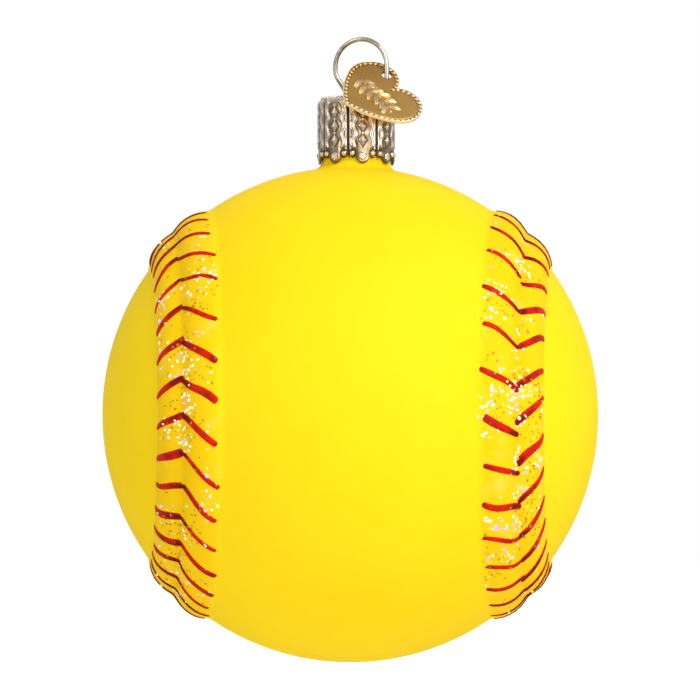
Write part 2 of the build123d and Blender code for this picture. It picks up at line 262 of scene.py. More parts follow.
def make_ball_mesh():
    """The lacquered shell: seam strip, two panels, neck, bore and the hollow inside."""
    surface = Surface()
    across = np.linspace(-strip_edge, strip_edge, STRIP_STEPS + 1)
    height = soft_larger(np.full_like(across, ball_radius), roll_top(across), FOOT_SOFTNESS)
    foot = SEAM_WIDTH / 2 / ball_radius
    band = np.clip((foot - np.abs(across)) / (BAND_FADE / ball_radius), 0, 1)
    # Painted shade: the groove between the rolls gets a deeper tone.
    band += GROOVE_SHADE * bump_at(across * ball_radius, GROOVE_SHADE_WIDTH)
    for arc in range(4):
        directions = seam_direction(arc, arc_spots[:, None], across[None, :])
        surface.add_grid(directions * height[None, :, None], band[None, :])
    shares = np.linspace(0, 1, PANEL_STEPS + 1)[:, None, None]
    for with_neck, turn in ((True, np.eye(3)), (False, next_arc)):
        for arc, targets in enumerate(panel_targets(with_neck)):
            edge = seam_direction(arc, arc_spots, strip_edge)
            rows = toward(edge[None], targets[None], shares)
            surface.add_grid(rows @ turn.T * ball_radius)

    front = pi / 2 * np.arange(NECK_SHARE) / NECK_SHARE
    azimuth = np.concatenate((front, pi - pi / 2 * arc_spots[::-1] / seam_half, 2 * pi - front[:0:-1]))
    around = np.stack((np.sin(azimuth), -np.cos(azimuth)), axis=-1)
    root = neck_root(azimuth) * ball_radius
    rows = []

    def add_row(reach, heights):
        rows.append(level_row(np.array((NECK_OFFSET, 0)) + around * reach, heights))

    for turn in np.linspace(0, pi / 2, 7):
        add_row(NECK_RADIUS + NECK_FILLET * (1 - sin(turn)), root[:, 2] + NECK_FILLET * (1 - cos(turn)))
    for turn in np.linspace(0, pi / 2, 5):
        lip = NECK_LIP_RADIUS
        add_row(NECK_RADIUS - lip * (1 - cos(turn)), neck_height - lip * (1 - sin(turn)))
    add_row(BORE_RADIUS, neck_height)
    inside = ball_radius - GLASS_WALL
    bore = np.array((NECK_OFFSET, 0)) + around * BORE_RADIUS
    bore_end = np.sqrt(inside**2 - np.sum(bore**2, axis=1))
    rows.append(level_row(bore, bore_end))
    mouth = rows[-1] / inside
    nadir = np.broadcast_to(np.array((0.0, 0.0, -1.0)), mouth.shape)
    for share in np.linspace(0, 1, PANEL_STEPS + 1)[1:]:
        rows.append(toward(mouth, nadir, share) * inside)
    surface.add_grid(rows, closed=True)
    return surface.make_mesh("glass_ball", "roll", ball_centre)


class Term:
    """A node's output that takes part in Python expressions, in shader and geometry trees alike."""

    def __init__(self, tree, socket=None):
        self.tree = tree
        self.socket = socket

    def node(self, kind, settings=None, sockets=None, out=0):
        """A new node: its settings are set first, then its sockets are filled or linked."""
        made = self.tree.nodes.new(kind)
        for name, value in (settings or {}).items():
            if name == "stops":
                ramp = made.color_ramp.elements
                while len(ramp) < len(value):
                    ramp.new(1)
                for stop, (place, colour) in zip(ramp, value):
                    stop.position = place
                    stop.color = colour
            else:
                setattr(made, name, value)
        for name, value in (sockets or {}).items():
            Term(self.tree).plug(value, made.inputs[name])
        return Term(self.tree, made.outputs[out])

    def plug(self, value, target):
        """Fills a socket with a value or links a term to it."""
        if isinstance(value, Term):
            self.tree.links.new(value.socket, target)
        else:
            target.default_value = value

    def out(self, name):
        """Another output of the same node."""
        return Term(self.tree, self.socket.node.outputs[name])

    def math(self, operation, *values):
        return self.node("ShaderNodeMath", {"operation": operation}, dict(enumerate(values)))

    def vector(self, *parts):
        return self.node("ShaderNodeCombineXYZ", {}, dict(enumerate(parts)))

    def parts(self):
        """The coordinates of a vector: X, with Y and Z as its other outputs."""
        return self.node("ShaderNodeSeparateXYZ", {}, {"Vector": self})

    def noise(self, scale, detail):
        """Soft noise at these coordinates."""
        return self.node("ShaderNodeTexNoise", {}, {"Vector": self, "Scale": scale, "Detail": detail})

    def point_value(self, name):
        """A number that the mesh keeps on its points under a name, for use in a shader."""
        return self.node("ShaderNodeAttribute", {"attribute_name": name}, out="Fac")

    def __add__(self, other):
        return self.math("ADD", self, other)

    def __sub__(self, other):
        return self.math("SUBTRACT", self, other)

    def __rsub__(self, other):
        return self.math("SUBTRACT", other, self)

    def __mul__(self, other):
        return self.math("MULTIPLY", self, other)

    def __truediv__(self, other):
        return self.math("DIVIDE", self, other)

    def __pow__(self, other):
        return self.math("POWER", self, other)

    __radd__ = __add__
    __rmul__ = __mul__

    def sin(self):
        return self.math("SINE", self)

    def cos(self):
        return self.math("COSINE", self)

    def sqrt(self):
        return self.math("SQRT", self)

    def between(self, low, high):
        """0 below low, 1 above high, and smooth between them."""
        sockets = {"Value": self, "From Min": low, "From Max": high}
        return self.node("ShaderNodeMapRange", {"interpolation_type": "SMOOTHSTEP"}, sockets)

    def mix(self, first, second):
        """This share of the way from the first colour to the second."""
        return self.node("ShaderNodeMix", {"data_type": "RGBA"}, {0: self, 6: first, 7: second}, out=2)


def start_material(name, **constants):
    """A material with its shader's constant sockets set; gives the material, a term and the shader."""
    material = bpy.data.materials.new(name)
    material.use_nodes = True
    shader = material.node_tree.nodes["Principled BSDF"]
    for socket, value in constants.items():
        shader.inputs[socket.replace("_", " ")].default_value = value
    return material, Term(material.node_tree), shader


def make_lacquer():
    """Satin lacquer: faint clouds and a fine grain, deeper in tone on the moulded rolls, with painted shade
    in the groove between them.
    """
    material, start, shader = start_material("yellow_lacquer", Specular_IOR_Level=0.015)
    place = start.node("ShaderNodeTexCoord", out="Object")
    cloud = place.noise(55, 3)
    grain = place.noise(2600, 2)
    roll = start.point_value("roll")
    panel = (cloud.between(0.35, 0.75) * 0.35).mix(PANEL_YELLOW, PANEL_SHADE)
    speckled = grain.between(0.5, 0.8) * 0.25
    colour = (roll * 0.6).mix(panel, ROLL_YELLOW)
    colour = speckled.mix(colour, PANEL_SHADE)
    smear = place.noise(330, 4)
    colour = (smear.between(0.52, 0.8) * roll * 0.2).mix(colour, GLUE_HAZE)
    start.plug(colour, shader.inputs["Base Color"])
    start.plug(0.42 + grain * 0.16 + roll * 0.04, shader.inputs["Roughness"])
    bump = start.node("ShaderNodeBump", {}, {"Strength": 0.12, "Distance": 2e-5, "Height": grain + cloud})
    start.plug(bump, shader.inputs["Normal"])
    return material


def place_piece(name, mesh, body, node, material=None):
    """A finished piece that stands for a CAD node and moves with its body."""
    piece = bpy.data.objects.new(name, mesh)
    scene.collection.objects.link(piece)
    if material:
        mesh.materials.clear()
        mesh.materials.append(material)
    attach(piece, body)
    if node:
        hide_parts(node)


ball_mesh = make_ball_mesh()
place_piece("lacquered_ball", ball_mesh, "ball", "glass_ball", make_lacquer())

# Painted stitches
# Short strokes of thick red enamel, put on by hand with a brush after the lacquer and fired.
# Two strokes make a chevron over the two rolls, and no two strokes are quite alike.
STITCH_ROWS = {  # ends and drifts in thousandths of an arc; drifts and trails of outer, then inner strokes
    "front_right_stitches": {
        "count": 16, "ends": (65, 977), "drifts": ((34, -7, 7), (38, -7, -3)), "trails": (3.8e-3, 2.3e-3)
    },
    "back_bottom_stitches": {
        "count": 16, "ends": (35, 985), "drifts": ((8, -5), (8, -5)), "trails": (2.9e-3, 2.9e-3)
    },
    "front_left_stitches": {
        "count": 17, "ends": (85, 957), "drifts": ((-18, -12, 3), (-18, -12, 3)), "trails": (2.3e-3, 3.4e-3)
    },
    "back_top_stitches": {
        "count": 16, "ends": (20, 985), "drifts": ((-6, 5), (-6, 5)), "trails": (2.9e-3, 2.9e-3)
    },
}
STITCH_REACH = 5.6e-3
STITCH_INSET = 0.05e-3
STITCH_WIDTH = 0.84e-3
STITCH_HEIGHT = 0.2e-3
STITCH_SINK = 0.06e-3
STROKE_SEGMENTS = 8
STROKE_RINGS = 10
STROKE_SEED = 10
STROKE_SEED_STEP = 20  # from one arc to the next
# The dark enamel tone serves for thick enamel and for painted shade at the ball's sides.
ENAMEL_THICK_AND_SHADE = (0.14, 0.001, 0.001, 1)
ENAMEL_THIN = (0.68, 0.013, 0.002, 1)


def start_tree(name, floats):
    """A geometry tree with a named size input for each float; gives a term and the inputs as terms."""
    tree = bpy.data.node_groups.new(name, "GeometryNodeTree")
    tree.interface.new_socket("Geometry", in_out="INPUT", socket_type="NodeSocketGeometry")
    for label in floats:
        tree.interface.new_socket(label, in_out="INPUT", socket_type="NodeSocketFloat")
    tree.interface.new_socket("Geometry", in_out="OUTPUT", socket_type="NodeSocketGeometry")
    entry = Term(tree).node("NodeGroupInput")
    return entry, {label: entry.out(label) for label in floats}


def keep_value(geometry, name, value, kind="FLOAT"):
    """The same geometry with a value kept on its points under a name."""
    settings = {"data_type": kind, "domain": "POINT"}
    sockets = {"Geometry": geometry, "Name": name, "Value": value}
    return geometry.node("GeometryNodeStoreNamedAttribute", settings, sockets)


def kept_value(term, name, kind="FLOAT"):
    return term.node("GeometryNodeInputNamedAttribute", {"data_type": kind}, {"Name": name})


def chance(low, high, number, seed):
    """A random number between low and high, the same for all points with one number."""
    return number.node("FunctionNodeRandomValue", {}, {2: low, 3: high, 7: number, 8: seed}, out=1)


def copies_on(points, shape, **sockets):
    """Copies of a shape on points, made real."""
    sockets = {"Points": points, "Instance": shape, **sockets}
    spread = points.node("GeometryNodeInstanceOnPoints", {}, sockets)
    return points.node("GeometryNodeRealizeInstances", {}, {"Geometry": spread})


def finish_tree(geometry, material, smooth=True):
    """Ends a tree: instances made real, smooth or faceted, with their material."""
    solid = geometry.node("GeometryNodeRealizeInstances", {}, {"Geometry": geometry})
    shaded = geometry.node("GeometryNodeSetShadeSmooth", {}, {"Geometry": solid, "Shade Smooth": smooth})
    painted = geometry.node("GeometryNodeSetMaterial", {}, {"Geometry": shaded, "Material": material})
    end = geometry.tree.nodes.new("NodeGroupOutput")
    geometry.plug(painted, end.inputs["Geometry"])
    return geometry.tree


def grow(name, mesh, tree, sizes):
    """Runs a tree on a mesh and gives the result as a plain mesh."""
    carrier = bpy.data.objects.new(name, mesh)
    scene.collection.objects.link(carrier)
    modifier = carrier.modifiers.new(name, "NODES")
    modifier.node_group = tree
    for item in tree.interface.items_tree:
        if item.in_out == "INPUT" and item.name in sizes:
            modifier[item.identifier] = float(sizes[item.name])
    graph = bpy.context.evaluated_depsgraph_get()
    grown = bpy.data.meshes.new_from_object(
        carrier.evaluated_get(graph), preserve_all_data_layers=True, depsgraph=graph
    )
    carrier.modifiers.remove(modifier)
    bpy.data.objects.remove(carrier)
    grown.name = name
    return grown


def make_enamel():
    """Glossy fired enamel, darker where it stands thick, and with painted shade where the seam runs round
    the ball's sides.
    """
    material, start, shader = start_material("red_enamel", Coat_Roughness=0.08, Specular_IOR_Level=0.1)
    place = start.node("ShaderNodeTexCoord", out="Object")
    mottle = place.noise(650, 3)
    thick = start.point_value("thick")
    colour = (thick * 0.62 + mottle * 1.7 - 0.85).between(0, 0.9).mix(ENAMEL_THIN, ENAMEL_THICK_AND_SHADE)
    start.plug(colour, shader.inputs["Base Color"])
    start.plug(0.3 + mottle * 0.2, shader.inputs["Roughness"])
    start.plug(mottle.between(0.5, 0.75) * 0.4, shader.inputs["Coat Weight"])
    return material


def make_stroke_tree():
    """Brush strokes along the right front arc, each bent over its roll and slightly different."""
    entry, size = start_tree("enamel_strokes", ("Reach", "Inset", "Width", "Height", "Sink", "Seed"))
    own_place = entry.node("GeometryNodeInputPosition")
    spots = keep_value(entry, "stroke", entry.node("GeometryNodeInputIndex"))
    spots = keep_value(spots, "start", own_place, "FLOAT_VECTOR")
    blob = entry.node("GeometryNodeMeshUVSphere", {}, {"Segments": STROKE_SEGMENTS, "Rings": STROKE_RINGS})
    blob = keep_value(blob, "shape", own_place, "FLOAT_VECTOR")
    strokes = copies_on(spots, blob)

    # The unit ball's own coordinates become the place along, across and above the stroke.
    shape = kept_value(entry, "shape", "FLOAT_VECTOR").parts()
    stroke = kept_value(entry, "stroke")
    start = kept_value(entry, "start", "FLOAT_VECTOR").parts()
    middle = start.out("X") - 0.5
    side = start.out("Y")
    ring = entry.math("MAXIMUM", (1 - shape.out("Z") * shape.out("Z")), 1e-6).sqrt()
    run = shape.out("Z") * 0.5 + 0.5
    seed = size["Seed"]
    reach = size["Reach"] * chance(0.93, 1.04, stroke, seed)
    inset = size["Inset"] * chance(-9, 0, stroke, seed + 1)
    trail = start.out("Z") * chance(0.88, 1.12, stroke, seed + 2)
    curve = chance(0.8, 1.25, stroke, seed + 3)
    taper = chance(-0.3, 0.3, stroke, seed + 4)
    wide = size["Width"] / 2 * chance(0.82, 1.25, stroke, seed + 5)
    wide = wide * (1.12 - side * 0.16) * (1 - middle * middle * 1.6)
    apex = (middle + chance(-0.003, 0.003, stroke, seed + 6)) * (2 * seam_half)

    length = reach - inset
    blunt = ring**0.2
    wide = wide * blunt * (1 + taper * (run - 0.5))
    aside = shape.out("X") / ring * wide
    upper = entry.math("MAXIMUM", shape.out("Y") / ring, 0)
    lower = entry.math("MINIMUM", shape.out("Y") / ring, 0)
    lift = upper * blunt * size["Height"] + lower * size["Sink"]
    slope = trail * curve * entry.math("MAXIMUM", run, 0.05) ** (curve - 1)
    span = (length * length + slope * slope).sqrt()
    across = (inset + length * run + aside * slope / span) * side / ball_radius
    wave = (run * (2 * pi)).sin() * size["Width"] * chance(-0.25, 0.25, stroke, seed + 7)
    back = trail * run**curve + wave - aside * length / span
    along = apex - back / (ball_radius * sin(seam_cone))
    spot = seam_spot(along, across, roll_top(across) + lift)
    place = entry.vector(*spot)
    laid = entry.node("GeometryNodeSetPosition", {}, {"Geometry": strokes, "Position": place})
    # Painted shade: strokes darken where the seam runs round the ball's sides, away from the front and
    # back.
    side_shade = 1 - entry.math("ABSOLUTE", spot[1]) / ball_radius
    thick = upper * blunt * (0.4 + (1 - run) ** 3 * 1.3 + run**8 * 0.5) + side_shade.between(0.4, 0.9) * 0.8
    laid = keep_value(laid, "thick", thick)
    laid = keep_value(laid, "roll", upper * 0.5)
    return finish_tree(laid, make_enamel())


def stroke_apexes(count, ends, drift):
    """Apexes from end to end of an arc as shares of it, evenly spaced but for slow waves of drift."""
    share = np.linspace(0, 1, count)
    waves = [size * np.sin(pi * number * share) for number, size in enumerate(drift, 1)]
    return (ends[0] + (ends[1] - ends[0]) * share + sum(waves)) / 1000


stroke_tree = make_stroke_tree()
stitch_sizes = {
    "Reach": STITCH_REACH,
    "Inset": STITCH_INSET,
    "Width": STITCH_WIDTH,
    "Height": STITCH_HEIGHT,
    "Sink": STITCH_SINK,
}
stitch_meshes = {}
for arc, (node, row) in enumerate(STITCH_ROWS.items()):
    # One point for each stroke: its apex along the arc, its side of the groove and its trail.
    starts = []
    for side, drift, trail in zip((-1, 1), row["drifts"], row["trails"]):
        apexes = stroke_apexes(row["count"], row["ends"], drift)
        starts += [(apex, side, trail) for apex in apexes]
    line = bpy.data.meshes.new("stroke_starts")
    line.from_pydata(starts, [], [])
    stitches = grow(node, line, stroke_tree, {**stitch_sizes, "Seed": STROKE_SEED + STROKE_SEED_STEP * arc})
    spots = np.empty(len(stitches.vertices) * 3)
    stitches.vertices.foreach_get("co", spots)
    spots = spots.reshape(-1, 3) @ arc_turns[arc].T + np.array(ball_centre)
    stitches.vertices.foreach_set("co", spots.reshape(-1))
    if arc % 2 == 0:
        stitches.flip_normals()
    place_piece("painted_" + node, stitches, "ball", node)
    stitch_meshes[node] = stitches

# Glitter
# Small hexagonal flakes of foil, strewn on a coat of clear glue over the rolls after painting.
# They lie in drifts at all angles; which of them catch the light is painted: lit flakes get pale tones and
# glow, the rest are amber.
FLAKE_RADIUS = 0.22e-3
FLAKE_THICKNESS = 0.05e-3
FLAKE_SPACING = 0.4e-3
FLAKES_PER_AREA = 2.6e6  # per square metre, where they lie thickest
FLAKE_TILT = 0.5
DRIFT_SCALE = 150.0
FLAKE_SEED = 3
FLAKE_UNLIT_AMBER = (0.58, 0.25, 0.012, 1)
FLAKE_GOLD = (1.0, 0.86, 0.32, 1)
FLAKE_LIT_WHITE = (1.0, 0.99, 0.80, 1)
FLAKE_MINT = (0.86, 1.0, 0.60, 1)
FLAKE_LILAC = (0.78, 0.62, 0.92, 1)


def make_foil():
    """Foil flakes with painted glints: each flake is painted lit or unlit, from unlit amber to lit white,
    mint and lilac, and the lit ones glow.
    """
    material, start, shader = start_material("glitter_foil", Metallic=0.25, Emission_Strength=0.15)
    glint = start.point_value("glint")
    tones = (
        (0, FLAKE_UNLIT_AMBER), (0.42, FLAKE_GOLD), (0.54, FLAKE_LIT_WHITE), (0.8, FLAKE_MINT), (0.9, FLAKE_LILAC)
    )
    ramp = start.node("ShaderNodeValToRGB", {"stops": tones}, {"Fac": glint})
    ramp.socket.node.color_ramp.interpolation = "CONSTANT"
    start.plug(ramp, shader.inputs["Base Color"])
    # Painted light: the flakes painted as lit glow.
    start.plug(glint.between(0.4, 0.6).mix((0, 0, 0, 1), ramp), shader.inputs["Emission Color"])
    start.plug(0.45 - glint * 0.25, shader.inputs["Roughness"])
    return material


def make_glitter_tree():
    """Flakes on the rolls, in drifts, most of them where the ball faces front and back."""
    entry, size = start_tree("glitter", ("Radius", "Thickness", "Spacing", "Most", "Tilt", "Drift", "Seed"))
    drift = entry.node("ShaderNodeTexNoise", {}, {"Scale": size["Drift"], "Detail": 2})
    facing = entry.node("GeometryNodeInputNormal").parts().out("Y")
    facing = entry.math("ABSOLUTE", facing).between(0.2, 0.6)
    share = kept_value(entry, "roll") * drift.between(0.4, 0.62) * facing
    sockets = {
        "Mesh": entry,
        "Distance Min": size["Spacing"],
        "Density Max": size["Most"],
        "Density Factor": share,
        "Seed": size["Seed"],
    }
    spots = entry.node("GeometryNodeDistributePointsOnFaces", {"distribute_method": "POISSON"}, sockets)
    number = entry.node("GeometryNodeInputIndex")
    glint_clump = entry.node("ShaderNodeTexNoise", {}, {"Scale": size["Drift"] * 2.2, "Detail": 1})
    # Painted glints: a random share of flakes, more of them in clumps, is painted as lit, and lit flakes
    # are drawn larger.
    glint = chance(0, 0.5, number, size["Seed"] + 1) + glint_clump.between(0.47, 0.54) * 0.5
    kept = keep_value(spots, "glint", glint)
    tilts = [chance(size["Tilt"] * -1, size["Tilt"], number, size["Seed"] + axis) for axis in (2, 3)]
    tilt = entry.vector(*tilts)
    turn = entry.node("FunctionNodeEulerToRotation", {}, {0: tilt})
    turn = entry.node(
        "FunctionNodeRotateRotation", {"rotation_space": "LOCAL"}, {0: spots.out("Rotation"), 1: turn}
    )
    shape = {"Vertices": 6, "Radius": size["Radius"], "Depth": size["Thickness"]}
    flake = entry.node("GeometryNodeMeshCylinder", {}, shape)
    grow_by = chance(0.4, 0.85, number, size["Seed"] + 4) + kept_value(entry, "glint") * 0.75
    flakes = copies_on(kept, flake, Rotation=turn, Scale=grow_by)
    return finish_tree(flakes, make_foil(), smooth=False)


glitter_sizes = {
    "Radius": FLAKE_RADIUS,
    "Thickness": FLAKE_THICKNESS,
    "Spacing": FLAKE_SPACING,
    "Most": FLAKES_PER_AREA,
    "Tilt": FLAKE_TILT,
    "Drift": DRIFT_SCALE,
    "Seed": FLAKE_SEED,
}
glitter_tree = make_glitter_tree()
for carrier, mesh in {"rolls": ball_mesh, **stitch_meshes}.items():
    glitter = grow("glitter", mesh.copy(), glitter_tree, glitter_sizes)
    place_piece("glitter_on_" + carrier, glitter, "ball", None)

# Cap
# A cup stamped from thin brass-coloured sheet, in eight panels with a crease between them and a
# lobed lower edge. Each panel has wavy ribs, studs and diamond points, and beads run round the top.
CAP_RADIUS = 5.43e-3
CAP_SHEET = 0.3e-3
CAP_SHOULDER = 1.0e-3
CAP_PANELS = 8
CAP_CREASE_ANGLE = radians(-12.5)  # first crease, from the front towards +X
PANEL_COLUMNS = 52
WALL_ROWS = 104
SCALLOP_TIP_RADIUS = 1.0e-3
SCALLOP_CORNER_RADIUS = 0.66e-3
SCALLOP_CORNER_INSET = 0.62e-3
SCALLOP_CORNER_HEIGHT = 1.35e-3
SLOT_LENGTH = 3.55e-3
SLOT_WIDTH = 1.15e-3
LOOP_TURN = radians(20)  # the slot and the wire's loop, right side towards the front
RELIEF = 0.2e-3  # full height of the stamped ornament
CREASE_WIDTH = 0.1e-3
CREASE_LINE = 0.3e-3  # from a crease to the raised line beside it
CREASE_LINE_WIDTH = 0.13e-3
RIB_FOOT = 2.1e-3  # lower end of the ribs, above the tips
RIB_FADE = 0.3e-3
RIB_PLACE = 1.26e-3
RIB_SWING = 0.17e-3
RIB_WAVE = 2.3e-3
RIB_WIDTH = 0.16e-3
RIB_LINE = 0.36e-3  # from a rib to the fine line outside it
RIB_LINE_WIDTH = 0.09e-3
STUD_RADIUS = 0.36e-3
STUD_MOAT_WIDTH = 0.08e-3
DIAMOND_SIZE = (0.62e-3, 0.85e-3)
DIAMOND_PITCH = 1.95e-3
DIAMOND_START = 3.2e-3  # lowest diamond, above the tips
DIAMOND_COUNT = 3
PEARL_RADIUS = 0.2e-3  # between two diamonds
FLOWER_HEIGHT = 0.95e-3  # middle of the flower, above the tips
PETAL_REACH = 0.34e-3
PETAL_RADIUS = 0.17e-3
EDGE_CREASE = 0.07e-3  # the sheet turns in along its lower edge
BEAD_RADIUS = 0.19e-3
BEAD_TURN = radians(66)  # round the shoulder, from the wall to the ring of beads
BEAD_COUNT = 56
CAP_HIGHLIGHT = (1.0, 0.87, 0.74, 1)
CAP_FIELD = (0.30, 0.20, 0.097, 1)
CAP_TARNISH_AND_SHADE = (0.10, 0.062, 0.026, 1)

cap_panel = 2 * pi * CAP_RADIUS / CAP_PANELS  # width of a panel

def dome_at(distance, radius):
    """A half-round stud, 1 at its middle."""
    return np.sqrt(np.maximum(1 - (distance / radius) ** 2, 0))


def cap_edge(aside):
    """Height of the lobed lower edge above the tips, by the distance from a panel's middle."""
    tip = np.abs(aside) / SCALLOP_TIP_RADIUS
    tip_edge = np.where(tip < 1, 1 - np.sqrt(np.maximum(1 - tip**2, 0)), 9) * SCALLOP_TIP_RADIUS
    corner = (np.abs(aside) - cap_panel / 2 + SCALLOP_CORNER_INSET) / SCALLOP_CORNER_RADIUS
    corner_edge = SCALLOP_CORNER_HEIGHT - SCALLOP_CORNER_RADIUS * np.sqrt(np.maximum(1 - corner**2, 0))
    return np.minimum(tip_edge, corner_edge)


def cap_relief(aside, height):
    """Stamped ornament of a panel, as a share of its full height."""
    from_crease = cap_panel / 2 - np.abs(aside)
    relief = 0.25 * (1 - (2 * aside / cap_panel) ** 2) - 0.9 * bump_at(from_crease, CREASE_WIDTH)
    relief += 0.35 * bump_at(from_crease - CREASE_LINE, CREASE_LINE_WIDTH)
    swing = RIB_SWING * np.sin(2 * pi * height / RIB_WAVE)
    upright = np.clip((height - RIB_FOOT) / RIB_FADE, 0, 1)
    rib = np.abs(aside) - RIB_PLACE - swing
    relief += 0.8 * upright * (bump_at(rib, RIB_WIDTH) + 0.4 * bump_at(rib - RIB_LINE, RIB_LINE_WIDTH))
    stud_place = cap_panel / 2 - SCALLOP_CORNER_INSET
    stud = np.hypot(np.abs(aside) - stud_place, height - SCALLOP_CORNER_HEIGHT)
    relief += 1.5 * dome_at(stud, STUD_RADIUS) - 0.5 * bump_at(stud - 1.25 * STUD_RADIUS, STUD_MOAT_WIDTH)
    for number in range(DIAMOND_COUNT):
        middle = DIAMOND_START + number * DIAMOND_PITCH
        slant = np.abs(aside) / DIAMOND_SIZE[0] + np.abs(height - middle) / DIAMOND_SIZE[1]
        relief += 1.25 * np.clip(1 - slant, 0, 0.8) - 0.3 * bump_at(slant - 1.15, 0.14)
        gap = np.hypot(np.abs(aside), height - middle - DIAMOND_PITCH / 2)
        relief += 0.9 * dome_at(gap, PEARL_RADIUS)
    above = height - FLOWER_HEIGHT
    for petal in np.arange(6) * pi / 3:
        reach = np.hypot(aside - PETAL_REACH * sin(petal), above - PETAL_REACH * cos(petal))
        relief += 0.9 * dome_at(reach, PETAL_RADIUS)
    return relief + 0.9 * dome_at(np.hypot(aside, above), PETAL_RADIUS)


def slot_reach(angle):
    """From the middle of the slot to its edge, by the angle from its long axis."""
    straight = (SLOT_LENGTH - SLOT_WIDTH) / 2
    across = np.maximum(np.abs(np.sin(angle)), 1e-9)
    flat = SLOT_WIDTH / 2 / across
    along = np.abs(np.cos(angle))
    end = straight * along + np.sqrt(np.maximum((SLOT_WIDTH / 2) ** 2 - (straight * across) ** 2, 0))
    return np.where(flat * along <= straight, flat, end)


def make_cap_mesh():
    """Outside wall with its ornament, shoulder, top, slot and the plain inside, as one sheet."""
    surface = Surface()
    columns = CAP_PANELS * PANEL_COLUMNS
    azimuth = CAP_CREASE_ANGLE + 2 * pi * np.arange(columns) / columns
    aside = ((np.arange(columns) % PANEL_COLUMNS) / PANEL_COLUMNS - 0.5) * cap_panel
    around = np.stack((np.sin(azimuth), -np.cos(azimuth)), axis=-1)
    height = cap_high.z - cap_low.z
    edge = cap_edge(aside)
    wall_top = height - CAP_SHOULDER
    rows = []
    values = []

    def add_row(reach, heights, value=0.3):
        flat = around * np.broadcast_to(reach, columns)[:, None]
        rows.append(level_row(flat, heights))
        values.append(np.broadcast_to(value, columns))

    for share in np.linspace(0, 1, WALL_ROWS + 1):
        heights = edge + share * (wall_top - edge)
        relief = cap_relief(aside, heights) - 0.5 * bump_at(heights - edge, EDGE_CREASE)
        add_row(CAP_RADIUS + RELIEF * (relief - 0.6), heights, relief)
    for turn in np.linspace(0, pi / 2, 13)[1:]:
        relief = cap_relief(aside, wall_top + CAP_SHOULDER * turn) * cos(turn)
        reach = CAP_RADIUS - CAP_SHOULDER * (1 - cos(turn)) + RELIEF * (relief - 0.6) * cos(turn)
        add_row(reach, wall_top + CAP_SHOULDER * sin(turn), relief + 0.4 * sin(turn))
    slot = slot_reach(azimuth - pi / 2 + LOOP_TURN)
    shoulder_in = CAP_RADIUS - CAP_SHOULDER
    for share in np.linspace(0, 1, 7)[1:]:
        add_row(shoulder_in + share * (slot - shoulder_in), height)
    # The underside of the top and the inside wall get the darkest tone: painted shade.
    for share in np.linspace(1, 0, 4):
        add_row(shoulder_in + share * (slot - shoulder_in), height - CAP_SHEET, -0.5)
    inner = CAP_SHOULDER - CAP_SHEET
    for turn in np.linspace(pi / 2, 0, 5)[1:]:
        add_row(shoulder_in + inner * cos(turn), wall_top + inner * sin(turn), -0.5)
    for share in np.linspace(1, 0, 9)[1:]:
        add_row(CAP_RADIUS - CAP_SHEET, edge + share * (wall_top - edge), -0.5)
    rows.append(rows[0])
    values.append(values[0])
    surface.add_grid(rows, np.array(values), closed=True)
    return surface.make_mesh("cap", "relief", (neck_axis.x, neck_axis.y, cap_low.z))


def make_cap_metal():
    """Plated brass: tarnish and painted shade in the stamped hollows, painted highlights on the raised
    ornament and beads.
    """
    material, start, shader = start_material("cap_metal", Metallic=1.0)
    place = start.node("ShaderNodeTexCoord", out="Object")
    tarnish = place.noise(1400, 3)
    relief = start.point_value("relief")
    raised = (relief + tarnish * 0.3 - 0.15).between(-0.5, 1)
    tones = ((0.12, CAP_TARNISH_AND_SHADE), (0.45, CAP_FIELD), (0.7, CAP_HIGHLIGHT))
    tone = start.node("ShaderNodeValToRGB", {"stops": tones}, {"Fac": raised})
    start.plug(tone, shader.inputs["Base Color"])
    start.plug(0.27 - raised * 0.16, shader.inputs["Roughness"])
    return material


def joined(first, second):
    """Two geometries as one."""
    both = first.node("GeometryNodeJoinGeometry", {}, {"Geometry": first})
    first.plug(second, both.socket.node.inputs["Geometry"])
    return both


def make_bead_tree():
    """The cap with a ring of beads half sunk in its shoulder."""
    entry, size = start_tree("cap_beads", ("Count", "Ring", "Height", "Across", "Back", "Bead"))
    sockets = {"Resolution": size["Count"], "Radius": size["Ring"]}
    ring = entry.node("GeometryNodeCurvePrimitiveCircle", {}, sockets)
    place = entry.vector(size["Across"], size["Back"], size["Height"])
    ring = entry.node("GeometryNodeTransform", {}, {"Geometry": ring, "Translation": place})
    bead = entry.node("GeometryNodeMeshUVSphere", {}, {"Segments": 10, "Rings": 7, "Radius": size["Bead"]})
    beads = keep_value(copies_on(ring, bead), "relief", 0.8)
    return finish_tree(joined(entry, beads), make_cap_metal())


bead_sizes = {
    "Count": BEAD_COUNT,
    "Ring": CAP_RADIUS - CAP_SHOULDER * (1 - cos(BEAD_TURN)),
    "Height": cap_high.z - CAP_SHOULDER * (1 - sin(BEAD_TURN)),
    "Across": neck_axis.x,
    "Back": neck_axis.y,
    "Bead": BEAD_RADIUS,
}
cap_mesh = grow("cap", make_cap_mesh(), make_bead_tree(), bead_sizes)
place_piece("stamped_cap", cap_mesh, "cap", "cap")

